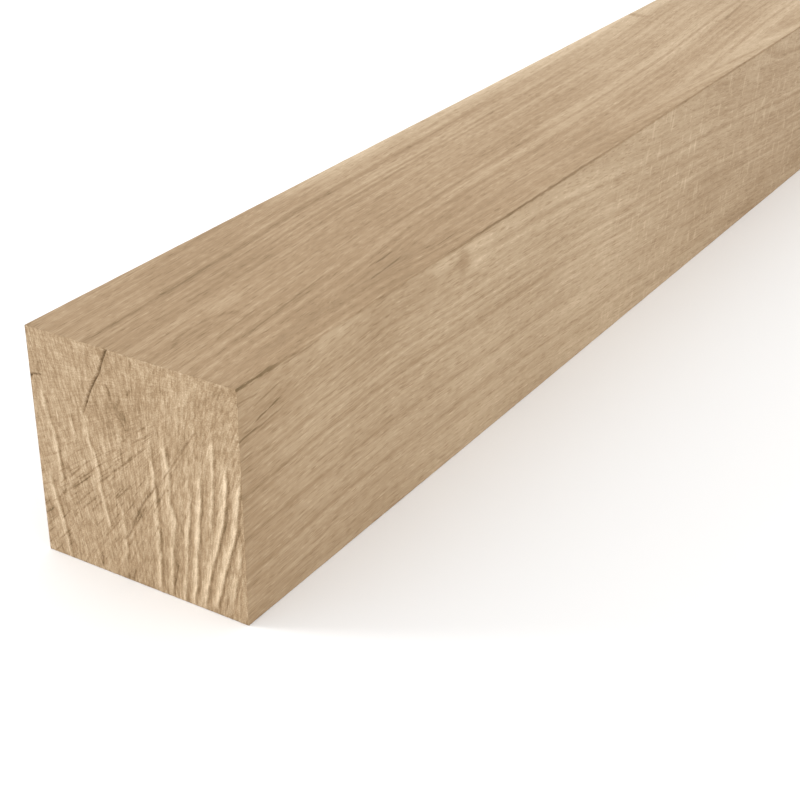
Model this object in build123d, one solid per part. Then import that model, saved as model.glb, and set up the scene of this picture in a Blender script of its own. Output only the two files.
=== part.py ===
from build123d import *
import os
from math import cos, pi, radians, sin, tan

# Squared oak beam lying along Y on its underside, with its rough-sawn end towards -Y
# The origin is at the middle of the underside, and sizes are in millimetres
beam_width = 150.0
beam_height = 150.0
beam_length = 1200.0
arris_bevel = 0.5

# Heart of the tree: it runs the length of the beam, close to the top right arris
heart_from_right = 12.5
heart_below_top = 6.3

# Saw marks: a fan of shallow troughs, open at the underside and run out up the end
saw_mark_pitch = 7.5
saw_mark_land = 0.3
saw_mark_depth_left = 0.4
saw_mark_depth_right = 0.85
saw_mark_reach = 122.0
saw_mark_waver = 16.0
saw_mark_waver_turn = 2.4
saw_mark_facets = 4
saw_lean_left = -11.0
saw_lean_right = 15.0
saw_lean_curve = 1.6

# Main drying check, from above the top down to its tip: distances from the left side and below the top
main_check_path = [(64.4, -14.0), (59.4, 0.0), (53.8, 15.6), (48.1, 23.8), (41.9, 37.5), (39.4, 43.1)]
main_check_gape = 1.3
main_check_depth = 18.0

# Ring shake: a gap that follows one growth ring, in degrees below level to the left of the heart
shake_ring_radius = 80.6
shake_first_angle = 9.0
shake_last_angle = 34.0
shake_steps = 4
shake_gape = 1.0
shake_depth = 16.0

# Radial checks: fans of fine splits that point at the heart, in degrees below level
# Each fan is its first and last angle, its number of splits, and its inner and outer radius
radial_fans = [
    (38.5, 46.5, 6, 66.0, 106.0),
    (34.5, 44.5, 8, 116.0, 160.0),
    (53.5, 60.0, 5, 84.0, 137.0),
    (71.5, 75.5, 3, 104.0, 150.0),
    (55.5, 63.2, 2, 157.0, 172.0),
]
radial_check_gape = 0.6
radial_check_depth = 14.0
radial_check_stagger = 4.0

# Short check that opens in the left side
left_check_below_top = 30.5
left_check_run = 9.5
left_check_drop = 1.5
left_check_gape = 1.3
left_check_depth = 14.0

# Splits in the right side: distance below the top, start from the sawn end, length and rise
side_splits = [
    (15.0, 16.0, 24.0, 4.0),
    (25.5, 14.0, 26.0, 4.5),
    (31.0, 3.0, 14.0, 1.5),
]
side_split_gape = 0.9
side_split_depth = 7.0

# How far each cut's tool stands out of the face that it starts from
tool_overrun = 1.0

left_side = -beam_width / 2
right_side = beam_width / 2
near_end = -beam_length / 2
heart = Vector(right_side - heart_from_right, beam_height - heart_below_top)

# The faces that cuts start from, each with its normal out of the wood
end_face = Plane(origin=(0, near_end, 0), x_dir=(1, 0, 0), z_dir=(0, -1, 0))
right_face = Plane(origin=(right_side, 0, 0), x_dir=(0, 1, 0), z_dir=(1, 0, 0))
underside = Plane(origin=(0, 0, 0), x_dir=(1, 0, 0), z_dir=(0, 0, -1))


def squared_beam():
    """The planed beam, with its four long arrises just taken off"""
    blank = Box(beam_width, beam_length, beam_height, align=(Align.CENTER, Align.CENTER, Align.MIN))
    return chamfer(blank.edges().filter_by(Axis.Y), arris_bevel)


def pointed_cut(face, outline, root, depth):
    """A cut whose outline on a face shrinks to one point, under the root, at its depth"""
    outer = face.offset(tool_overrun)
    spread = (depth + tool_overrun) / depth
    mouth = [root + (point - root) * spread for point in outline]
    tip = face.offset(-depth).from_local_coords(root)
    return loft([outer * make_face(Polyline(*mouth, close=True)), Vertex(*tip)], ruled=True)


def saw_mark(share, width, reach):
    """One trough: an arc of flats at the underside that runs out to a point up the end"""
    depth = saw_mark_depth_left + (saw_mark_depth_right - saw_mark_depth_left) * share
    lean = saw_lean_left + (saw_lean_right - saw_lean_left) * share**saw_lean_curve
    foot_x = left_side + beam_width * share
    trough = []
    for step in range(saw_mark_facets + 1):
        across = 2 * step / saw_mark_facets - 1
        trough.append(Vector(foot_x + across * width / 2, -near_end - depth * (1 - across**2)))
    outside = Vector(foot_x, -near_end + tool_overrun)
    run_out = Vector(foot_x + reach * tan(radians(lean)), -near_end)
    return pointed_cut(underside, trough + [outside], run_out, reach)


def saw_marks():
    """The fan of troughs, side by side over the width of the end"""
    count = int(beam_width / saw_mark_pitch)
    width = beam_width / count - saw_mark_land
    marks = []
    for index in range(count):
        reach = saw_mark_reach + saw_mark_waver * sin(saw_mark_waver_turn * index)
        marks.append(saw_mark((index + 0.5) / count, width, reach))
    return marks


def split(face, path, gape, depth):
    """A thin split along a path on a face, widest at mid-length, that closes inwards"""
    last = len(path) - 1
    along = (path[last] - path[0]).normalized()
    across = Vector(-along.Y, along.X)
    one_side = []
    other_side = []
    for index in range(1, last):
        half = across * (gape / 2 * sin(pi * index / last))
        one_side.append(path[index] + half)
        other_side.append(path[index] - half)
    outline = [path[0]] + one_side + [path[last]] + other_side[::-1]
    return pointed_cut(face, outline, path[len(path) // 2], depth)


def straight_split(face, start, end, gape, depth):
    """A split along a straight line"""
    return split(face, [start, (start + end) / 2, end], gape, depth)


def from_heart(angle, radius):
    """A point of the end, at an angle below level to the left of the heart"""
    return heart - Vector(cos(radians(angle)), sin(radians(angle))) * radius


def main_check():
    """The check that opens at the top of the end and wanders down to the left"""
    path = [Vector(left_side + across, beam_height - down) for across, down in main_check_path]
    return split(end_face, path, main_check_gape, main_check_depth)


def ring_shake():
    """The gap along one growth ring"""
    sweep = (shake_last_angle - shake_first_angle) / shake_steps
    angles = [shake_first_angle + sweep * step for step in range(shake_steps + 1)]
    path = [from_heart(angle, shake_ring_radius) for angle in angles]
    return split(end_face, path, shake_gape, shake_depth)


def radial_checks():
    """The fans of fine splits, each pointing at the heart and staggered in length"""
    checks = []
    for first, last, count, inner, outer in radial_fans:
        for index in range(count):
            angle = first + (last - first) * index / (count - 1)
            shift = radial_check_stagger * (index % 3 - 1)
            start = from_heart(angle, inner + shift)
            end = from_heart(angle, outer + shift)
            checks.append(straight_split(end_face, start, end, radial_check_gape, radial_check_depth))
    return checks


def left_check():
    """The short check that opens in the left side: half of its length lies beyond the wood"""
    tip = Vector(left_side + left_check_run, beam_height - left_check_below_top)
    start = tip - Vector(2 * left_check_run, 2 * left_check_drop)
    return straight_split(end_face, start, tip, left_check_gape, left_check_depth)


def side_checks():
    """The splits in the right side, near the sawn end"""
    checks = []
    for below_top, from_end, length, rise in side_splits:
        start = Vector(near_end + from_end, beam_height - below_top)
        end = start + Vector(length, rise)
        checks.append(straight_split(right_face, start, end, side_split_gape, side_split_depth))
    return checks


os.makedirs("parts", exist_ok=True)

oak_beam = squared_beam() - saw_marks()
oak_beam -= [main_check(), ring_shake(), left_check()] + radial_checks() + side_checks()
export_step(oak_beam, "parts/oak_beam.step")
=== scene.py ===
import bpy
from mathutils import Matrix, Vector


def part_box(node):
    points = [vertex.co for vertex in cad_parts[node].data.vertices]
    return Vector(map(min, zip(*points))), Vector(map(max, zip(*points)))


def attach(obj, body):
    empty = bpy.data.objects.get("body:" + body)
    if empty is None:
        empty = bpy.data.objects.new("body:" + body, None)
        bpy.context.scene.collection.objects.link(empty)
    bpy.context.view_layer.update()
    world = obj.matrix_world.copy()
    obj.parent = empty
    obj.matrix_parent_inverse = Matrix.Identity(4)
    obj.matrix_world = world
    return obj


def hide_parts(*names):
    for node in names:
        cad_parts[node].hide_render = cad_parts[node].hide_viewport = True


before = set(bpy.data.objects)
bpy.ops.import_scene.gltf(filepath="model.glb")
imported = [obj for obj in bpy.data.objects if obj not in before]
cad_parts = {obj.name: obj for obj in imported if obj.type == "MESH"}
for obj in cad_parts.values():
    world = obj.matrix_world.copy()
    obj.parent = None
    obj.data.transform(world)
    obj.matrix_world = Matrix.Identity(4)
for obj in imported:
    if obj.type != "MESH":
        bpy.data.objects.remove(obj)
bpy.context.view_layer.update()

import math

import bpy
import numpy as np

# The beam is measured in millimetres: across from the left face, along from the sawn near end,
# and down from the top.
MM = 0.001
low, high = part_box("oak_beam")
WIDTH = (high.x - low.x) * 1000
LENGTH = (high.y - low.y) * 1000

# Cells across each sawn end, with edges set close together beside the arrises.
NEAR_CELLS, NEAR_EDGES = 250, [0, 0.35, 0.8, 1.35]
FAR_CELLS, FAR_EDGES = 60, [0, 0.4, 1.1, 2.3, 4.2, 6.8]
# Rings of points along the beam: fine ones behind the near end, then coarser ones.
NEAR_RINGS = (0.8, 1.45, 2.75, 5.35)
BODY_START, BODY_RINGS, BODY_END = 9.0, 84, 4.0
LAST_RINGS = (1.5, 0.6)
# The planed arrises are eased, and the rim of each sawn end is drawn in.
ARRIS_EASE, ARRIS_UNEVEN = 0.35, 0.6
END_RIM = 0.15

# Chainsaw ridges on the near end: points of each crest, its height and the width of its slope.
RIDGES = [
    ([(131.5, 36), (130.5, 56), (129, 74), (127.5, 92)], 0.55, 3.4),
    ([(139.5, 54), (138, 75), (135.6, 87), (132, 100), (128.5, 112), (124.5, 126), (119, 147)], 0.95, 3.4),
    ([(148.5, 58), (145.5, 84), (142, 99), (138.5, 110), (134, 123), (128.5, 144)], 0.95, 3.6),
    ([(147.5, 100), (145.5, 115), (142.5, 126), (140, 138)], 0.6, 2.6),
    ([(121, 64), (120, 80), (118.5, 92), (116.5, 106), (114.8, 125), (112, 148)], 0.9, 2.8),
    ([(112.5, 78), (111, 96), (109.5, 108), (108, 124), (104.5, 148)], 0.7, 2.4),
    ([(98.5, 84), (101.5, 98), (99, 112), (97.5, 125), (95.5, 146)], 0.75, 3.0),
    ([(97, 48), (98.5, 62), (99, 76), (98.5, 92)], 0.7, 4.0),
    ([(86.5, 52), (87.5, 66), (88.5, 84), (88, 104), (87.8, 128), (87, 148)], 0.75, 2.8),
    ([(63.5, 50), (63.8, 60), (64, 72)], 0.4, 2.2),
    ([(51.5, 52), (52.3, 64), (53, 74)], 0.45, 2.6),
    ([(39.5, 53), (41.5, 64), (45, 74), (47, 84), (46.5, 94), (49, 106), (52, 118)], 0.6, 3.0),
    ([(8, 40), (10.5, 54), (14, 66), (16.5, 82), (17.5, 98)], 0.6, 3.2),
    ([(7, 98), (11, 112), (14.5, 126), (17.8, 148)], 0.65, 3.0),
    ([(28, 48), (29.8, 60), (30, 70)], 0.4, 2.2),
    ([(56, 80), (57.3, 92)], 0.4, 2.4),
    ([(62.5, 104), (62.8, 124), (61.5, 140)], 0.4, 2.6),
    ([(43.5, 12), (44.5, 24)], 0.3, 2.0),
    ([(118, 28), (118.5, 38), (117, 48)], 0.45, 2.6),
]
# A ridge climbs to its crest over a little more than its slope, falls away beyond it, and leaves
# a hollow. The climb and the crest get a painted highlight, and one side of the hollow painted
# shade. A place is to the right of the crest, and a share is of its height.
CLIMB_SHARE, CREST_SHARE = 1.3, 0.62
FALL_WIDTH = 1.1
HOLLOW_IN, HOLLOW_WIDTH, HOLLOW_SHARE = 2.0, 1.3, 0.2
SHADE_IN, SHADE_WIDTH, SHADE_SHARE = 1.7, 0.95, 0.62
RUN_OUT_START, RUN_OUT_LENGTH = 7, 12

# Saw texture that follows the sweep: its rise, the size of a lump across and down, and its seed.
SAW_WAVES = (0.2, 4.2, 30, 3)
SAW_FIBRES = [(0.17, 1.7, 8, 5), (0.09, 0.95, 5, 8)]
SAW_CRUMBS = (0.05, 0.8, 0.9, 9)

# Drying checks on the near end: points, half width and depth. Each check is also darkened with painted shade.
CHECKS = [
    (
        [
            (59.8, 0), (56.9, 6.3), (54, 13.8), (52.5, 17.5), (49.4, 21.9), (45.6, 28.8), (43, 34.4),
            (41.6, 38),
        ],
        0.42, 1.5,
    ),
    ([(41.6, 38), (39, 45)], 0.4, 0.5),
    ([(0, 32), (2.5, 30.4), (5.6, 30), (7.5, 29.6)], 0.45, 0.9),
    ([(57.8, 23), (59.4, 26.2), (60, 30), (61, 34)], 0.65, 0.6),
    ([(63, 40), (66.5, 43), (69, 48)], 0.7, 0.5),
    ([(66.3, 30), (65, 33)], 0.7, 0.5),
    ([(74.5, 22), (73, 24.5)], 0.6, 0.4),
    ([(43, 141), (42, 148)], 0.5, 0.6),
    ([(68, 142), (65.8, 149)], 0.42, 0.5),
    ([(101, 127), (99, 136), (96.5, 144), (97, 149)], 0.42, 0.5),
    ([(62.5, 122), (67.5, 115), (74, 100), (80, 90), (89.5, 77.5)], 0.42, 0.6),
    ([(119.5, 35), (112.5, 45), (100, 64), (95, 71)], 0.33, 0.4),
]
# Finer checks that point at the heart, each from a start (across, down) to an end.
HAIR_CHECKS = [
    (62, 59, 75, 50), (62, 75, 75, 63), (75, 62.5, 85, 54), (75, 54, 82.5, 49), (46, 89, 62, 74.5),
    (55, 80, 60, 76), (22.5, 93, 37.5, 78), (15, 99, 20, 94), (25, 100, 41, 85), (25, 111, 40, 96),
    (12.5, 110, 21, 99), (31, 111, 44, 99), (38, 110.5, 46, 102), (19, 125, 26, 116),
    (47, 125, 57.5, 112.5), (65, 125, 70, 116), (65, 137.5, 69, 129), (89, 112.5, 92, 106),
    (87.5, 90, 97.5, 77.5), (70, 52, 84, 42), (52, 70, 62, 62), (30, 92, 42, 82), (16, 106, 30, 93),
    (58, 96, 70, 84), (72, 108, 80, 94),
]
HAIR_HALF_WIDTH, HAIR_DEPTH, HAIR_SHADE = 0.3, 0.25, 0.85
# Dark patches: painted shade beside ridges and round the ring shake, and smaller darker spots: place across and
# down, reach across and down, and strength.
SHADE_AND_DARK_SPOTS = [
    (62, 34, 4, 4, 0.5), (67, 42, 4, 6, 0.55), (87, 62.5, 2.5, 4, 0.5), (89.5, 76, 1.4, 2, 0.6),
    (57.5, 88, 2, 1.6, 0.5), (4.4, 120, 2.6, 4, 0.5), (21, 143, 2.5, 3.6, 0.4), (7.5, 22, 0.6, 0.6, 0.8),
    (27.5, 6.2, 0.5, 0.5, 0.6), (74, 23, 1, 2, 0.5), (115, 80, 0.7, 0.7, 0.6), (88, 106, 0.6, 0.6, 0.7),
    (104, 108, 0.6, 0.6, 0.6), (109, 92, 0.6, 0.6, 0.6), (60, 50, 18, 14, 0.22),
]
# The rim of the near end is nicked, with torn pale fibres along the top.
NICK_DEPTH, NICK_REACH = 0.45, 0.6
TORN_LIGHT, TORN_REACH = 0.5, 0.9
DEEPEST_NEAR, DEEPEST_FAR = 6, 2

# The hidden end has plainer saw marks at an even spacing.
FAR_SAW_SPACING, FAR_SAW_DEPTH = 9.5, 0.4


def linear(code):
    """An sRGB hex colour as linear values."""
    parts = [int(code[i : i + 2], 16) / 255 for i in (1, 3, 5)]
    return [c / 12.92 if c < 0.04045 else ((c + 0.055) / 1.055) ** 2.4 for c in parts] + [1]


def fibre_noise(a, b, seed):
    """Smooth noise from -1 to 1 over two coordinates, one lump to each whole step."""
    size = 64
    lattice = np.random.default_rng(seed).uniform(-1, 1, (size, size))
    i, j = np.floor(a).astype(int), np.floor(b).astype(int)
    s, t = a - i, b - j
    s, t = s * s * (3 - 2 * s), t * t * (3 - 2 * t)
    near = lattice[i % size, j % size] * (1 - s) + lattice[(i + 1) % size, j % size] * s
    far = lattice[i % size, (j + 1) % size] * (1 - s) + lattice[(i + 1) % size, (j + 1) % size] * s
    return near * (1 - t) + far * t


def crest_place(points, down):
    """How far across a crest lies at each depth."""
    return np.interp(down, [p[1] for p in points], [p[0] for p in points])


def crack(across, down, points, half_width):
    """1 on the line through the points, falling to 0 beside it."""
    mark = np.zeros_like(across)
    for (x0, d0), (x1, d1) in zip(points, points[1:]):
        run = (x1 - x0) ** 2 + (d1 - d0) ** 2
        t = np.clip(((across - x0) * (x1 - x0) + (down - d0) * (d1 - d0)) / run, 0, 1)
        gap = np.hypot(across - x0 - t * (x1 - x0), down - d0 - t * (d1 - d0))
        mark = np.maximum(mark, np.exp(-0.5 * (gap / half_width) ** 2))
    return mark


def saw_sweep(across, down):
    """The coordinate across the saw's sweep, which leans inwards towards the bottom."""
    middle_height = 80
    lean = np.interp(across, [0, 45, 86, 118, 150], [-0.2, -0.17, 0, 0.12, 0.3])
    return across + lean * (down - middle_height)


def near_relief(across, down):
    """The near end's depth behind its highest crest, its sweep, its painted shade with darker spots, and its
    painted highlights with pale torn fibres.
    """
    sweep = saw_sweep(across, down)
    rise, wide, tall, seed = SAW_WAVES
    height = rise * fibre_noise(sweep / wide, down / tall, seed)
    # The end is rougher towards its lower right corner.
    rough = np.interp(across + 0.7 * down, [30, 90, 170, 230], [0.35, 0.8, 1.2, 1.35])
    for rise, wide, tall, seed in SAW_FIBRES:
        height += rough * rise * fibre_noise(sweep / wide, down / tall, seed)
    rise, wide, tall, seed = SAW_CRUMBS
    height += rough * rise * fibre_noise(across / wide, down / tall, seed)

    light, dark = np.zeros_like(across), np.zeros_like(across)
    for points, crest, slope in RIDGES:
        (first_in, top), (_, foot) = points[0], points[-1]
        wander = 0.5 * fibre_noise(down / 9, np.full_like(down, first_in), 12)
        side = across - crest_place(points, down) - wander
        from_top = np.clip((down - top + RUN_OUT_START) / RUN_OUT_LENGTH, 0, 1)
        from_foot = np.clip((foot + RUN_OUT_START - down) / RUN_OUT_LENGTH, 0, 1)
        strength = 0.85 + 0.3 * fibre_noise(down / 6, np.full_like(down, 0.5), int(first_in))
        stand = crest * from_top * from_foot * strength
        climb_width = CLIMB_SHARE * slope
        climb = np.clip((side + climb_width) / climb_width, 0, 1) * (side <= 0)
        fall = np.exp(-((np.maximum(side, 0) / FALL_WIDTH) ** 2)) * (side > 0)
        hollow = np.exp(-(((side - HOLLOW_IN) / HOLLOW_WIDTH) ** 2))
        shade = np.exp(-(((side - SHADE_IN) / SHADE_WIDTH) ** 2))
        height += stand * (CREST_SHARE * (climb + fall) - HOLLOW_SHARE * hollow)
        # Painted highlight on the climb and the crest, and painted shade beside the hollow.
        light = np.maximum(light, stand * (np.clip(climb * 1.4, 0, 1) + fall**3))
        dark = np.maximum(dark, stand * SHADE_SHARE * shade)

    depth = height.max() - height
    for points, half_width, deep in CHECKS:
        mark = crack(across, down, points, half_width)
        depth += deep * mark
        # Painted shade darkens each check, more where it is deeper.
        dark = np.maximum(dark, min(1.0, 0.6 + 0.2 * deep) * mark)
    for x0, d0, x1, d1 in HAIR_CHECKS:
        mark = crack(across, down, [(x0, d0), (x1, d1)], HAIR_HALF_WIDTH)
        mark *= 0.75 + 0.5 * fibre_noise(across / 2.5, down / 2.5, 21)
        depth += HAIR_DEPTH * mark
        dark = np.maximum(dark, HAIR_SHADE * mark)
    # Painted shade beside ridges and round the ring shake, and darker spots.
    for x0, d0, reach, drop, strength in SHADE_AND_DARK_SPOTS:
        spot = np.exp(-0.5 * (((across - x0) / reach) ** 2 + ((down - d0) / drop) ** 2))
        patchy = 0.85 + 0.4 * fibre_noise(across / 1.6, down / 1.9, 23)
        dark = np.maximum(dark, strength * spot * patchy)
    edge = np.minimum.reduce([across, down, WIDTH - across, WIDTH - down])
    nicks = np.clip(fibre_noise(across / 1.3, down / 1.3, 31), 0, 1)
    depth += NICK_DEPTH * nicks * np.exp(-edge / NICK_REACH)
    torn = np.clip(fibre_noise(across / 1.1, down / 1.1, 37), 0, 1)
    light = np.maximum(light, TORN_LIGHT * torn * np.exp(-down / TORN_REACH))
    return np.clip(depth - depth.min(), 0, DEEPEST_NEAR), sweep, dark, light


def far_relief(across, down):
    """The plainer saw marks of the hidden end, with a painted highlight rising to each mark's crest."""
    sweep = saw_sweep(across, down)
    saw = (sweep / FAR_SAW_SPACING) % 1
    waves = 0.15 * fibre_noise(sweep / 4, down / 20, 41)
    depth = 0.5 - FAR_SAW_DEPTH * saw * (saw < 0.9) + waves
    # The last value is a painted highlight that rises across each saw mark.
    return np.clip(depth, 0, DEEPEST_FAR), sweep, np.zeros_like(across), 0.5 * saw


def cell_lines(cells, edges):
    """Cell edges across a face, close together beside the arrises."""
    inner = np.linspace(edges[-1], WIDTH - edges[-1], cells - 2 * (len(edges) - 1) + 1)
    return np.concatenate([edges[:-1], inner, WIDTH - np.array(edges[:-1])[::-1]])


def round_section(lines):
    """The points once round a square section: over the top, down the right, and back."""
    whole, none = np.full(len(lines) - 1, WIDTH), np.zeros(len(lines) - 1)
    across = np.concatenate([lines[:-1], whole, lines[::-1][:-1], none])
    down = np.concatenate([none, lines[:-1], whole, lines[::-1][:-1]])
    return across, down


def ease(across, down, run):
    """Takes the sharp arrises off, a little unevenly along the beam."""
    bumps = fibre_noise(np.full_like(across, run / 14), across / 75 + down / 50, 51)
    reach = ARRIS_EASE * (1 + ARRIS_UNEVEN * bumps)
    inward = [np.clip(v, reach, WIDTH - reach) for v in (across, down)]
    out = np.hypot(across - inward[0], down - inward[1])
    scale = np.where(out > reach, reach / np.maximum(out, 1e-9), 1)
    return inward[0] + (across - inward[0]) * scale, inward[1] + (down - inward[1]) * scale


class Timber:
    """Collects the beam's points and faces, with the marks and the kind of grain at each point."""

    def __init__(self):
        self.points, self.faces, self.marks, self.grain = [], [], [], []
        self.count = 0

    def add(self, across, run, down, marks=None, grain=0.0):
        at = np.arange(self.count, self.count + across.size)
        self.points.append(np.stack([across.ravel(), run.ravel(), down.ravel()], 1))
        self.marks.append(np.zeros((across.size, 3)) if marks is None else marks)
        self.grain.append(np.full(across.size, grain))
        self.count += across.size
        return at

    def end(self, lines, relief, near):
        """Adds a sawn end with its relief, and gives the ring of points round it."""
        across, down = np.meshgrid(lines, lines, indexing="ij")
        depth, sweep, dark, light = relief(across, down)
        across, down = [END_RIM + v * (1 - 2 * END_RIM / WIDTH) for v in ease(across, down, 0)]
        marks = np.stack([sweep.ravel(), dark.ravel(), light.ravel()], 1)
        at = self.add(across, depth if near else LENGTH - depth, down, marks, 1.0)
        at = at.reshape(len(lines), len(lines))
        a, b, c, d = at[:-1, :-1], at[1:, :-1], at[1:, 1:], at[:-1, 1:]
        order = (a, d, c, b) if near else (a, b, c, d)
        self.faces += np.stack([corner.ravel() for corner in order], 1).tolist()
        return np.concatenate([at[:-1, 0], at[-1, :-1], at[::-1, -1][:-1], at[0, ::-1][:-1]])

    def ring(self, lines, run):
        """Adds a ring of points round the beam."""
        across, down = ease(*round_section(lines), run)
        return self.add(across, np.full_like(across, run), down)

    def bridge(self, first, second):
        """Joins two rings that have as many points as each other."""
        sides = [first, np.roll(first, -1), np.roll(second, -1), second]
        self.faces += np.stack(sides, 1).tolist()

    def way_round(self, ring):
        """How far round the section each point of a ring lies, with the whole turn at the end."""
        across, _, down = np.concatenate(self.points)[ring].T
        legs = np.stack([across, down, WIDTH - across, WIDTH - down])
        place = np.arange(len(ring))
        leg = place * 4 // len(ring)
        return np.append(leg * WIDTH + legs[leg, place], 4 * WIDTH)

    def narrow(self, fine, coarse):
        """Joins a finely divided ring to a coarser one with triangles."""
        fine_way, coarse_way = self.way_round(fine), self.way_round(coarse)
        i = j = 0
        while i < len(fine) or j < len(coarse):
            a, b = int(fine[i % len(fine)]), int(coarse[j % len(coarse)])
            if j == len(coarse) or (i < len(fine) and fine_way[i + 1] <= coarse_way[j + 1]):
                i += 1
                self.faces.append([a, int(fine[i % len(fine)]), b])
            else:
                j += 1
                self.faces.append([a, int(coarse[j % len(coarse)]), b])


def saw_timber():
    """The beam as one closed skin, with the sawn ends' relief in its shape."""
    timber = Timber()
    near_lines, body_lines = cell_lines(NEAR_CELLS, NEAR_EDGES), cell_lines(FAR_CELLS, FAR_EDGES)
    ring = timber.end(near_lines, near_relief, near=True)
    for run in NEAR_RINGS:
        following = timber.ring(near_lines, run)
        timber.bridge(ring, following)
        ring = following
    following = timber.ring(body_lines, BODY_START)
    timber.narrow(ring, following)
    ring = following
    body_runs = np.linspace(BODY_START, LENGTH - BODY_END, BODY_RINGS)[1:].tolist()
    for run in body_runs + [LENGTH - back for back in LAST_RINGS]:
        following = timber.ring(body_lines, run)
        timber.bridge(ring, following)
        ring = following
    timber.bridge(ring, timber.end(body_lines, far_relief, near=False))
    return timber


# The sheet that the faces are laid on: four long strips above, and the two ends below.
SHEET_EDGE, LONG_SPAN, END_SPAN = 0.004, 0.992, 0.49
STRIP_HEIGHT, STRIP_FILL = 0.124, 0.96


def turn_map(points, normals):
    """Lays each face flat on one sheet."""
    across, run, down = points.T / np.array([[WIDTH], [LENGTH], [WIDTH]])
    axis = np.argmax(np.abs(normals), 1)
    facing = axis * 2 + (normals[np.arange(len(normals)), axis] > 0)
    left, right, near_end, far_end, top, under = range(6)
    sheet = np.zeros((len(points), 2))
    for face, strip, place in ((left, 0, down), (right, 1, down), (top, 2, across), (under, 3, across)):
        here = facing == face
        up = 0.5 + SHEET_EDGE + (strip + place[here] * STRIP_FILL) * STRIP_HEIGHT
        sheet[here] = np.stack([SHEET_EDGE + run[here] * LONG_SPAN, up], 1)
    for face, start in ((near_end, SHEET_EDGE), (far_end, 0.5 + SHEET_EDGE)):
        here = facing == face
        up = SHEET_EDGE + down[here] * END_SPAN
        sheet[here] = np.stack([start + across[here] * END_SPAN, up], 1)
    return sheet


# The beam's skin.
timber = saw_timber()
points = np.concatenate(timber.points)
marks, grain = np.concatenate(timber.marks), np.concatenate(timber.grain)
skin = bpy.data.meshes.new("oak_timber")
seat = np.stack([points[:, 0] - WIDTH / 2, points[:, 1] - LENGTH / 2, WIDTH - points[:, 2]], 1) * MM
skin.from_pydata(seat.tolist(), [], timber.faces)
skin.update()
skin.shade_smooth()
# The saw's sweep, and the painted shade and painted highlights of the sawn ends, kept on the points.
sweep_shade_layer = skin.attributes.new("sweep_shade_and_highlight", "FLOAT_VECTOR", "POINT")
sweep_shade_layer.data.foreach_set("vector", marks.astype(np.float32).ravel())
grain_layer = skin.attributes.new("end_grain", "FLOAT", "POINT")
grain_layer.data.foreach_set("value", grain.astype(np.float32))

# Each face goes to the side of the beam that it belongs to, so the relief doesn't scatter it.
corner_points = np.zeros(len(skin.loops), np.int32)
skin.loops.foreach_get("vertex_index", corner_points)
normals = np.zeros(len(skin.polygons) * 3, np.float32)
skin.polygons.foreach_get("normal", normals)
corners = np.zeros(len(skin.polygons), np.int32)
skin.polygons.foreach_get("loop_total", corners)
face_turn = normals.reshape(-1, 3) * np.array([1, 1, -1])
first_corners = np.concatenate([[0], np.cumsum(corners)[:-1]])
on_end = np.minimum.reduceat(grain[corner_points], first_corners) > 0.5
face_turn[on_end] = np.sign(face_turn[on_end, 1:2]) * np.array([[0, 1, 0]])
face_turn[~on_end, 1] = 0
sheet = turn_map(points[corner_points], np.repeat(face_turn, corners, 0))
skin.uv_layers.new(name="OFBake").uv.foreach_set("vector", sheet.astype(np.float32).ravel())

beam = bpy.data.objects.new("oak_timber", skin)
bpy.context.scene.collection.objects.link(beam)
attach(beam, "root")
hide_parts("oak_beam")

# Growth rings that stand out, by distance from the heart, with how many grey levels each is
# darker (-) or paler (+) over the near, middle and far stretch, and its half width.
SIDE_RINGS = [
    (9, -5, -6, -3, 1.2), (13.6, 6, 4, 2, 1.4), (16.8, 2, 9, 7, 1.0), (20, -5, -10, -10, 1.1),
    (24, -9, 6, 6, 1.0), (29.7, -9, -4, -3, 1.0), (31.9, 4, 3, 2, 0.8), (33.6, -3, -3, -6, 1.4),
    (37.4, -6, -3, -3, 1.0), (39.8, 2, 8, 7, 1.0), (42, -5, -4, -4, 1.0), (44, 6, 2, 1, 0.8),
    (46.6, -10, -9, -6, 1.1), (49.8, 7, 8, 6, 1.0), (52.5, -4, -6, -5, 1.0), (54.8, 8, 7, 5, 0.9),
    (57.6, -4, -8, -7, 1.0), (61.8, -16, -10, -6, 1.2), (64.7, 7, 8, 6, 1.0), (67.5, -6, -5, -3, 1.0),
    (69.8, 6, 3, 2, 0.9), (72, -4, -2, -1, 0.9), (74.8, 5, 3, 1, 1.0), (77.4, -5, -3, -2, 0.8),
    (79.2, 4, 4, 2, 0.7), (81, -5, -3, -2, 0.8), (83, 4, 4, 1, 0.7), (84.6, -4, -3, -2, 0.7),
    (86.3, 4, 3, 1, 0.8), (88.8, -12, -11, -7, 1.4), (97, 4, 4, 4, 4.0), (112, -13, -10, -7, 1.2),
    (115.6, 6, 5, 5, 1.2), (122, -4, -5, -2, 2.0), (130, 2, 5, 8, 5.0),
]
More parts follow.
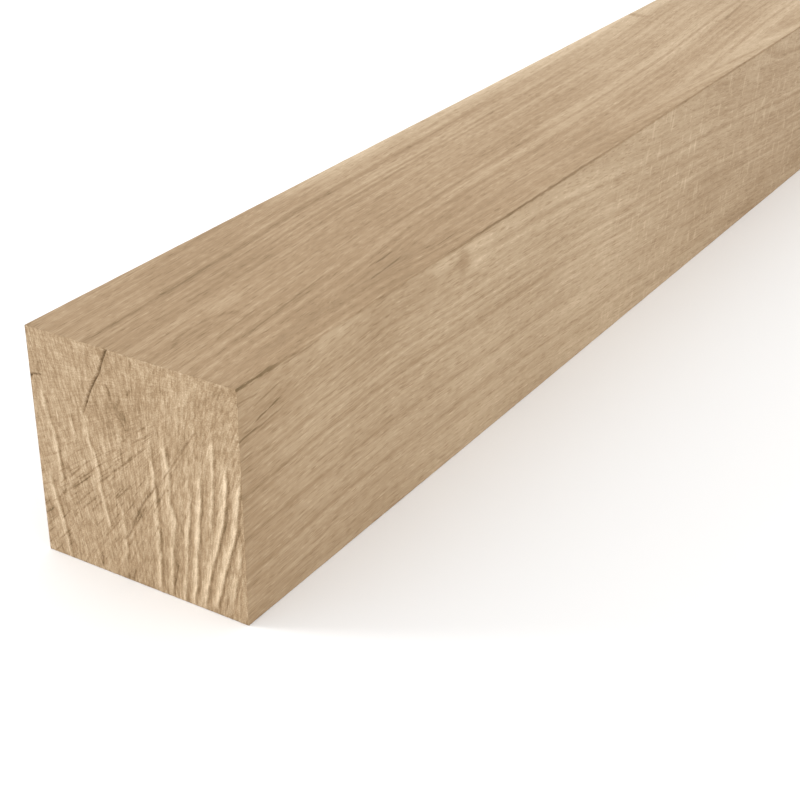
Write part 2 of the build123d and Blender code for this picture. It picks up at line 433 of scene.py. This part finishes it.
TOP_RINGS = [
    (3, -7, -8, -10, 2.0), (7.5, 5, 2, 2, 1.5), (11.5, -7, -13, -8, 2.0), (16, 9, 8, 5, 1.4),
    (20.5, -11, 9, 10, 1.6), (26.5, 4, -12, 8, 1.5), (22.8, 0, 2, -13, 1.3), (30.5, -4, 6, 8, 1.6),
    (33.5, -5, -4, 2, 1.2), (36.5, 5, -4, -7, 1.6), (42.8, -5, -6, -6, 1.4), (45.6, 4, 5, 5, 1.0),
    (48.2, -6, -3, -4, 1.1), (52, -3, -4, -6, 1.3), (59.5, -2, -4, -3, 1.4), (64, 7, 4, 6, 1.8),
    (68.8, -6, -6, -7, 1.2), (71.3, 4, 4, 2, 0.8), (73.9, -8, -12, -5, 1.1), (76.8, 6, 5, 2, 0.9),
    (78.9, -7, -11, -9, 1.0), (81.8, 6, 11, 7, 1.1), (84.2, -6, -3, 3, 0.8), (86.2, 11, 9, 4, 0.8),
    (88.4, -5, -4, 1, 0.6), (89.9, 6, 5, 3, 0.7), (93.2, -19, -17, -7, 1.5), (96.4, -3, -2, -5, 0.6),
    (98.5, 8, 10, 6, 1.3), (104, -3, -2, 2, 1.0), (107.8, 4, 6, 8, 1.2), (112, -4, 2, 12, 1.5),
    (117, 4, 12, 14, 2.5), (123, -4, 6, 10, 2.0), (128, 7, 8, 10, 2.5),
]
# A curve of ring tones covers this much wood and this many grey levels.
RING_SPAN, RING_LEVELS, RING_STEPS = 150.0, 60.0, 251

# Where the heart of the tree comes out of the near end, and by distance along the beam, how far
# it moves left and down and how far the rings spread.
HEART_IN, HEART_DOWN = 137.5, 6.3
HEART_PATH = [
    (0, 0, 0, 0), (75, -4.4, -4.4, 0.1), (150, -7.6, -7.8, 1.8), (225, -9, -9.2, 5.9),
    (300, -9.6, -9.6, 8.4), (375, -9.2, -9.2, 11), (450, -7.9, -7.9, 14.3), (525, -5.9, -5.9, 17.7),
    (600, -4.5, -4.5, 21.8), (675, -3.4, -3.4, 26.6), (750, -3, -3, 33), (825, -2.5, -2.5, 40.5),
    (1200, 0, 0, 62),
]
# The curve node's values stay small, so the path is drawn at a hundredth.
PATH_SCALE = 100

# Slow changes of tone along the beam, by share of its length, partly the wood's own and partly painted
# light and shade, with separate curves for the top and the right face; the middle of a tone is 0.5.
TOP_TONE_AND_LIGHT = [
    (0, 0.33), (0.0625, 0.34), (0.125, 0.29), (0.1875, 0.33), (0.25, 0.42), (0.375, 0.42), (0.5, 0.49),
    (0.625, 0.54), (1, 0.5),
]
SIDE_TONE_AND_LIGHT = [
    (0, 0.36), (0.03, 0.44), (0.0625, 0.5), (0.125, 0.53), (0.25, 0.57), (0.33, 0.62), (0.42, 0.58),
    (0.5, 0.53), (0.65, 0.44), (1, 0.5),
]
TONE_AND_LIGHT_LEVELS = 80.0
# How strongly the dark line shows down the top right arris.
ARRIS_STRENGTH = [
    (0, 1), (0.022, 0.95), (0.04, 0.35), (0.055, 0.1), (0.07, 0.3), (0.1, 0.15), (0.17, 0.3),
    (0.22, 0.75), (0.33, 0.7), (0.4, 0.35), (0.55, 0.5), (0.7, 0.55), (1, 0.3),
]

# Solid European oak, planed on its long faces and chainsawn across its end. Rings, open pores and
# rays run through the whole block, so every face cuts the same grain: the eye sees long dashes on
# the planed faces, and short, torn fibres on the end.
# The colour also carries painted light: shade in the checks and hollows and highlights on the crests of the sawn
# end, and light, shade and sheen along the long faces.
oak = bpy.data.materials.new("planed_and_sawn_oak")
oak.use_nodes = True
oak.node_tree.nodes.clear()
SOFT = {"interpolation_type": "SMOOTHSTEP"}


def add(kind, inputs=(), out=0, **settings):
    """Adds a node to the oak with its settings, fills its inputs, and gives an output."""
    made = oak.node_tree.nodes.new("ShaderNode" + kind)
    for name, value in settings.items():
        setattr(made, name, value)
    for spot, value in inputs.items() if isinstance(inputs, dict) else enumerate(inputs):
        if isinstance(value, bpy.types.NodeSocket):
            oak.node_tree.links.new(value, made.inputs[spot])
        elif value is not None:
            made.inputs[spot].default_value = value
    return made.outputs[out] if len(made.outputs) else made


def draw_curve(output, curves):
    """Draws the given points on a curve node's curves."""
    mapping = output.node.mapping
    for curve, path in zip(mapping.curves, curves):
        for x, y in path[1:-1]:
            curve.points.new(x, y)
        for point, (x, y) in zip(curve.points, path):
            point.location = (x, y)
            point.handle_type = "VECTOR"
    mapping.update()
    return output


def ring_path(rings, stretch):
    """The tone of the rings over a stretch, on a curve from the heart outwards."""
    reach = np.linspace(0, RING_SPAN, RING_STEPS)
    tone = sum(row[1 + stretch] * np.exp(-0.5 * ((reach - row[0]) / row[4]) ** 2) for row in rings)
    return [(q / RING_SPAN, 0.5 + v / RING_LEVELS) for q, v in zip(reach, tone)]


# Where a place is in the block.
metres = add("TexCoord", out="Object")
corner = (WIDTH / 2, LENGTH / 2, WIDTH)
block = add("VectorMath", (metres, (1000, 1000, -1000), corner), operation="MULTIPLY_ADD")
across = add("SeparateXYZ", (block,))
run, down = across.node.outputs[1:]
share = add("Math", (run, LENGTH), operation="DIVIDE")
to_right = add("Math", (WIDTH, across), operation="SUBTRACT")
# The side's figure gives way to the top's across the top right arris.
past_arris = add("Math", (to_right, down), operation="SUBTRACT")
upper = add("MapRange", (past_arris, -2.5, 2.5), **SOFT)
right_face = add("MapRange", (to_right, 3, 1), **SOFT)
top_face = add("MapRange", (down, 3, 1), **SOFT)

# The saw's sweep, the sawn ends' painted shade and painted highlights, and the sawn ends, from the skin.
sweep = add("SeparateXYZ", (add("Attribute", out="Vector", attribute_name="sweep_shade_and_highlight"),))
shade_and_spot_mark, highlight_and_fibre_mark = sweep.node.outputs[1:]
end = add("Attribute", out="Fac", attribute_name="end_grain")
long_face = add("Math", (1.0, end), operation="SUBTRACT")

# Where a place is from the heart, which wanders along the beam.
drift = draw_curve(
    add("VectorCurve", {"Vector": add("CombineXYZ", (share, share, share))}),
    [[(row[0] / LENGTH, row[k] / PATH_SCALE) for row in HEART_PATH] for k in (1, 2, 3)],
)
move_in = add("SeparateXYZ", (add("VectorMath", (drift, (PATH_SCALE,) * 3), operation="MULTIPLY"),))
move_down, spread = move_in.node.outputs[1:]
heart_in = add("Math", (move_in, HEART_IN), operation="ADD")
heart_down = add("Math", (move_down, HEART_DOWN), operation="ADD")
from_left = add("Math", (heart_in, across), operation="SUBTRACT")
from_top = add("Math", (down, heart_down), operation="SUBTRACT")
from_heart = add("CombineXYZ", (from_left, from_top, 0.0))
outward = add("VectorMath", (from_heart,), out="Value", operation="LENGTH")
# The angle round the heart, with its jump towards the top right arris.
diagonal = add("Math", (from_left, from_top), operation="ADD")
aslant = add("Math", (from_top, from_left), operation="SUBTRACT")
half_turn = add("Math", (aslant, diagonal), operation="ARCTAN2")
turn = add("Math", (half_turn, math.pi / 4), operation="ADD")


def figure(scale, seed, detail=2.0, rough=0.5, source=block):
    """Noise through the wood, from 0 to 1, with lumps of the given size in millimetres."""
    shift = (seed * 7.3, seed * 3.1, seed * 5.7)
    place = add("VectorMath", (source, [1 / s for s in scale], shift), operation="MULTIPLY_ADD")
    return add("TexNoise", {"Vector": place, "Scale": 1.0, "Detail": detail, "Roughness": rough})


def overlap(*masks):
    """The part of the wood where all the masks meet."""
    shared = masks[0]
    for mask in masks[1:]:
        shared = add("Math", (shared, mask), operation="MULTIPLY")
    return shared


def tint(level, *masks):
    """Makes the wood paler or darker where the masks meet; the last of them is in grey levels."""
    return add("Math", (level, overlap(*masks)), operation="ADD")


def lay(level, layers):
    """Adds layers of figure: noise, its two ends, the grey levels there, and where it shows."""
    for noise, start, stop, least, most, where in layers:
        tone = add("MapRange", (noise, start, stop, least, most))
        level = add("Math", (tone, where, level), operation="MULTIPLY_ADD")
    return level


# Growth rings spread along the beam, wander a little, and bulge round the grown-over knot.
WANDER, BULGE = 5.0, -4.5
wander = add("Math", (figure((55, 240, 55), 1), WANDER, -WANDER / 2), operation="MULTIPLY_ADD")
bulge = overlap(
    add("MapRange", (run, 120, 280), **SOFT), add("MapRange", (run, 430, 290), **SOFT),
    add("MapRange", (outward, 46, 14), **SOFT), upper, BULGE,
)
rings_out = add("Math", (outward, spread), operation="SUBTRACT")
rings_out = add("Math", (rings_out, wander), operation="ADD")
rings_out = add("Math", (rings_out, bulge), operation="ADD")
rings_apart = add("Math", (rings_out,), operation="ABSOLUTE")
ring_share = add("Math", (rings_apart, RING_SPAN), operation="DIVIDE", use_clamp=True)
middle = add("MapRange", (run, 150, 260), **SOFT)
far = add("MapRange", (run, 400, 540), **SOFT)
face_tones = []
for rings in (SIDE_RINGS, TOP_RINGS):
    near_tone, middle_tone, far_tone = (
        draw_curve(add("FloatCurve", {"Value": ring_share}), [ring_path(rings, stretch)]) for stretch in range(3)
    )
    tone = add("Mix", (middle, None, near_tone, middle_tone))
    face_tones.append(add("Mix", (far, None, tone, far_tone)))
ring_tone = add("Mix", (upper, None, *face_tones))

# The fine grain follows the wood's own coordinates: outwards, along and round. It breaks the
# rings into dashes, which are faint on the sawn ends. An arc is the way round for one radian.
GRAIN_ARC, RAY_ARC = 60.0, 85.0
grain_place = add("CombineXYZ", (rings_out, run, add("Math", (turn, GRAIN_ARC), operation="MULTIPLY")))
dashes = figure((1.5, 20, 9), 2, source=grain_place)
level = overlap(
    add("Math", (ring_tone, RING_LEVELS, -RING_LEVELS / 2), operation="MULTIPLY_ADD"),
    add("MapRange", (dashes, 0.32, 0.68, 0.55, 1.45)),
    add("MapRange", (end, 0.0, 1.0, 1.0, 0.22)),
)
level = lay(level, [
    (figure((1.1, 65, 14), 3, 3.0, source=grain_place), 0.3, 0.7, -7.0, 7.0, long_face),
    (figure((2.6, 130, 20), 4, 2.0, source=grain_place), 0.3, 0.7, -4.0, 4.0, long_face),
    (figure((0.75, 11, 3), 5, 1.0, source=grain_place), 0.57, 0.72, 0.0, -22.0, long_face),
    (figure((0.8, 7, 3), 6, 1.0, source=grain_place), 0.60, 0.74, 0.0, 16.0, long_face),
    (figure((4, 10, 4), 7, 3.0), 0.3, 0.7, -5.0, 5.0, long_face),
    (figure((34, 95, 34), 8, 2.0), 0.3, 0.7, -5.0, 5.0, 1.0),
])

# Pale ray flecks stand across the grain on the quartered side, further along the beam.
FLECK_LEVELS, LEFT_EDGE_SHEEN_LEVELS, ARRIS_LEVELS, EYE_LEVELS = 14.0, 18.0, -46.0, -17.0
fleck_run = add("Math", (down, 0.25, run), operation="MULTIPLY_ADD")
fleck_place = add("CombineXYZ", (fleck_run, outward, across))
flecks = figure((3.4, 13, 30), 9, 1.0, 0.4, source=fleck_place)
level = tint(
    level, add("MapRange", (flecks, 0.615, 0.70), **SOFT), add("MapRange", (run, 360, 560), **SOFT),
    long_face, add("MapRange", (upper, 0.8, 0.2), **SOFT), FLECK_LEVELS,
)

# The tree's tone changes slowly along the beam, partly its own and partly painted light and shade
# set apart for the top and the right face, and the far edge of the top gets a painted sheen.
top_tone_and_light = draw_curve(add("FloatCurve", {"Value": share}), [TOP_TONE_AND_LIGHT])
side_tone_and_light = draw_curve(add("FloatCurve", {"Value": share}), [SIDE_TONE_AND_LIGHT])
slow_tone_and_light = add("Mix", (upper, None, side_tone_and_light, top_tone_and_light))
slow_levels_and_light = add("Math", (slow_tone_and_light, TONE_AND_LIGHT_LEVELS, -TONE_AND_LIGHT_LEVELS / 2), operation="MULTIPLY_ADD")
# Painted light and shade along the long faces, mixed with the wood's slow tone.
level = tint(level, long_face, slow_levels_and_light)
# Painted sheen: the left edge of the long faces is painted paler further along the beam.
left_edge_sheen = add("MapRange", (across, 22, 2), **SOFT)
level = tint(level, left_edge_sheen, add("MapRange", (run, 150, 360), **SOFT), long_face, LEFT_EDGE_SHEEN_LEVELS)

# A dark, broken line runs down the top right arris.
ragged = figure((1.5, 12, 1.5), 10, 3.0)
arris_width = add("MapRange", (ragged, 0.3, 0.7, 0.5, 2.6))
to_arris = add("Math", (to_right, down), operation="MAXIMUM")
arris_share = add("Math", (to_arris, arris_width), operation="DIVIDE")
arris_gap = add("Math", (arris_share,), operation="ABSOLUTE")
arris_strength = draw_curve(add("FloatCurve", {"Value": share}), [ARRIS_STRENGTH])
level = tint(level, add("MapRange", (arris_gap, 1.0, 0.45), **SOFT), arris_strength, ARRIS_LEVELS)


def split_mark(value, start, stop, first, last, width):
    """A drying split: a thin line of painted shade on a face, from one place along the beam to another."""
    line = add("MapRange", (run, start, stop, first, last), clamp=False)
    wave = add("Math", (ragged, 1.6, line), operation="MULTIPLY_ADD")
    gap = add("Math", (value, wave), operation="SUBTRACT")
    centred = add("Math", (gap, 0.8), operation="ADD")
    size = add("Math", (centred,), operation="ABSOLUTE")
    return overlap(
        add("MapRange", (size, width, width * 0.25), **SOFT),
        add("MapRange", (run, start - 3, start + 3), **SOFT),
        add("MapRange", (run, stop + 2, stop - 6), **SOFT),
    )


# Splits, drawn as lines of painted shade: the coordinate on the face, the face, where each starts and
# stops along the beam, where it is on the face at its start and stop, its width and its grey levels.
SPLITS = [
    (down, right_face, 15, 40, 15.7, 11.2, 0.8, -26.0), (down, right_face, 15, 40, 25.5, 20.2, 0.9, -44.0),
    (down, right_face, 0, 20, 31.5, 29.2, 1.0, -36.0), (down, right_face, 18, 41, 30, 27.8, 0.6, -26.0),
    (down, right_face, 0, 14, 43.5, 42.7, 0.7, -26.0), (down, right_face, 6, 14, 53, 52.5, 0.8, -30.0),
    (down, right_face, 42, 78, 2.6, 1.5, 0.8, -26.0), (down, right_face, 0, 22, 8.5, 10, 0.8, -20.0),
    (across, top_face, 180, 202, 120, 118.4, 0.9, -34.0), (across, top_face, 158, 200, 131, 127.5, 0.9, -26.0),
    (across, top_face, 45, 90, 103, 98, 1.0, -16.0), (across, top_face, 60, 150, 114, 103.5, 1.0, -18.0),
    (across, top_face, 225, 255, 137.2, 135.8, 0.7, -22.0),
    (across, top_face, 330, 372, 124.5, 123.5, 1.1, -16.0), (across, top_face, 825, 900, 83, 73, 2.0, -20.0),
]
for value, face, start, stop, first, last, width, tone in SPLITS:
    level = tint(level, split_mark(value, start, stop, first, last, width), face, tone)


def knot_reach(value, middle_run, middle_in, long, wide):
    """How far a place on a face is from the middle of a knot, with 1 at the knot's rim."""
    run_gap = add("Math", (run, middle_run), operation="SUBTRACT")
    in_gap = add("Math", (value, middle_in), operation="SUBTRACT")
    first = add("Math", (run_gap, long), operation="DIVIDE")
    second = add("Math", (in_gap, wide), operation="DIVIDE")
    from_middle = add("CombineXYZ", (first, second, 0.0))
    return add("VectorMath", (from_middle,), out="Value", operation="LENGTH")


# A pin knot on the right face, a grown-over eye on the top, and a knot at the far left edge: the
# coordinate on the face, the face, the middle along and on the face, the reach each way, where
# the tone is full, and its grey levels.
KNOTS = [
    (down, right_face, 236, 13, 9, 17, 0.3, -13.0), (down, right_face, 258, 12, 20, 14, 0.4, 9.0),
    (down, right_face, 208, 9, 13, 12, 0.4, 8.0), (across, top_face, 796, 8, 7, 16, 0.3, -22.0),
    (across, top_face, 84, 78, 22, 8, 0.4, 10.0), (across, top_face, 46, 91, 20, 9, 0.4, -7.0),
]
for value, face, middle_run, middle_in, long, wide, full, tone in KNOTS:
    reach = knot_reach(value, middle_run, middle_in, long, wide)
    level = tint(level, add("MapRange", (reach, 1.0, full), **SOFT), face, tone)
eye = knot_reach(across, 50, 93, 28, 10.5)
from_rim = add("Math", (add("Math", (eye, 1.0), operation="SUBTRACT"),), operation="ABSOLUTE")
level = tint(
    level, add("MapRange", (from_rim, 0.16, 0.04), **SOFT), add("MapRange", (across, 97, 88), **SOFT),
    top_face, add("MapRange", (ragged, 0.3, 0.6), **SOFT), EYE_LEVELS,
)

# End grain: torn fibres along the saw's sweep, with painted highlights on the crests and painted
# shade in the checks and hollows, and rays that point at the heart.
CREST_HIGHLIGHT_LEVELS, SHADE_AND_SPOT_LEVELS, END_BASE = 52.0, -54.0, -4.0
sweep_place = add("CombineXYZ", (sweep, down, 0.0))
ray_place = add("CombineXYZ", (add("Math", (turn, RAY_ARC), operation="MULTIPLY"), outward, 0.0))
rays = figure((0.8, 16, 1), 14, 2.0, 0.6, source=ray_place)
ray_zone = overlap(
    add("MapRange", (outward, 48, 70), **SOFT), add("MapRange", (turn, 0.42, 0.62), **SOFT),
    add("MapRange", (turn, 1.25, 1.02), **SOFT),
)
end_level = add("Math", (highlight_and_fibre_mark, CREST_HIGHLIGHT_LEVELS, END_BASE), operation="MULTIPLY_ADD")
end_level = add("Math", (shade_and_spot_mark, SHADE_AND_SPOT_LEVELS, end_level), operation="MULTIPLY_ADD")
end_level = lay(end_level, [
    (figure((0.9, 9, 1), 11, 3.0, 0.6, source=sweep_place), 0.3, 0.7, -20.0, 20.0, 1.0),
    (figure((1.9, 5, 1), 12, 2.0, 0.6, source=sweep_place), 0.3, 0.7, -16.0, 17.0, 1.0),
    (figure((0.7, 0.8, 1), 13, 2.0, 0.6, source=sweep_place), 0.3, 0.7, -18.0, 18.0, 1.0),
    (rays, 0.35, 0.65, -7.0, 7.0, 1.0),
    (rays, 0.40, 0.30, 0.0, -26.0, ray_zone),
])
level = tint(level, end_level, end)

# Grey levels become oak colours, from the dark brown that paints the shade in an open check to the pale of
# sapwood, which the painted highlights on the crests reach.
DARKEST, PALEST = -105.0, 75.0
OAK_COLOURS = [
    (0.0, "#47331D"), (0.25, "#735B37"), (0.5, "#A18563"), (0.66, "#BBA281"), (0.82, "#D6BE9D"),
    (1.0, "#F1D9B8"),
]
colour = add("ValToRGB", (add("MapRange", (level, DARKEST, PALEST)),))
ramp = colour.node.color_ramp
for _ in OAK_COLOURS[1:-1]:
    ramp.elements.new(0.5)
for element, (spot, code) in zip(ramp.elements, OAK_COLOURS):
    element.position = spot
    element.color = linear(code)

# Pores are a hair lower and duller than the smooth wood between them.
GRAIN_RISE = 0.004
height = add("Math", (level, GRAIN_RISE), operation="MULTIPLY")
surface = add("Bump", {"Height": height, "Strength": 0.5, "Distance": MM})
gloss = add("MapRange", (level, -30.0, 30.0, 0.72, 0.56))
planed = add("BsdfPrincipled", {"Base Color": colour, "Roughness": gloss, "IOR": 1.5, "Normal": surface})
add("OutputMaterial", {"Surface": planed})
skin.materials.append(oak)

# Matt white seamless paper under the beam, which takes a soft shadow and no shine.
paper = bpy.data.materials.new("seamless_paper")
paper.use_nodes = True
paper_finish = paper.node_tree.nodes["Principled BSDF"].inputs
paper_finish["Base Color"].default_value = linear("#FCFCFC")
paper_finish["Roughness"].default_value = 0.9
paper_finish["Specular IOR Level"].default_value = 0.1
FLOOR_REACH, FLOOR_DROP = 30.0, 0.0002
floor_mesh = bpy.data.meshes.new("studio_floor")
floor_mesh.from_pydata([(x, y, 0.0) for x, y in ((-1, -1), (1, -1), (1, 1), (-1, 1))], [], [(0, 1, 2, 3)])
floor_mesh.materials.append(paper)
floor = bpy.data.objects.new("studio_floor", floor_mesh)
floor.scale = (FLOOR_REACH, FLOOR_REACH, 1)
floor.location = (0, 0, -FLOOR_DROP)
bpy.context.scene.collection.objects.link(floor)

# Even white light all round, and one soft window from the left that rakes the sawn end.
world = bpy.data.worlds.new("white_room")
world.use_nodes = True
room_light = world.node_tree.nodes["Background"].inputs
room_light["Color"].default_value = (1, 1, 1, 1)
room_light["Strength"].default_value = 1.1
bpy.context.scene.world = world
key = bpy.data.objects.new("left_window", bpy.data.lights.new("left_window", "SUN"))
key.data.energy = 1.15
key.data.angle = math.radians(16)
key.rotation_euler = (math.radians(64), 0, math.radians(-66))
bpy.context.scene.collection.objects.link(key)
bpy.context.scene.view_settings.view_transform = "Standard"

# The photograph's viewpoint: just off the near right corner, looking down the beam.
camera = bpy.data.objects.new("camera", bpy.data.cameras.new("camera"))
camera.location = (0.552686, -1.197642, 0.546917)
camera.rotation_euler = (1.0839298, 0.0, 0.5622847)
camera.data.sensor_width = 36
camera.data.lens = 74.07
bpy.context.scene.collection.objects.link(camera)
bpy.context.scene.camera = camera
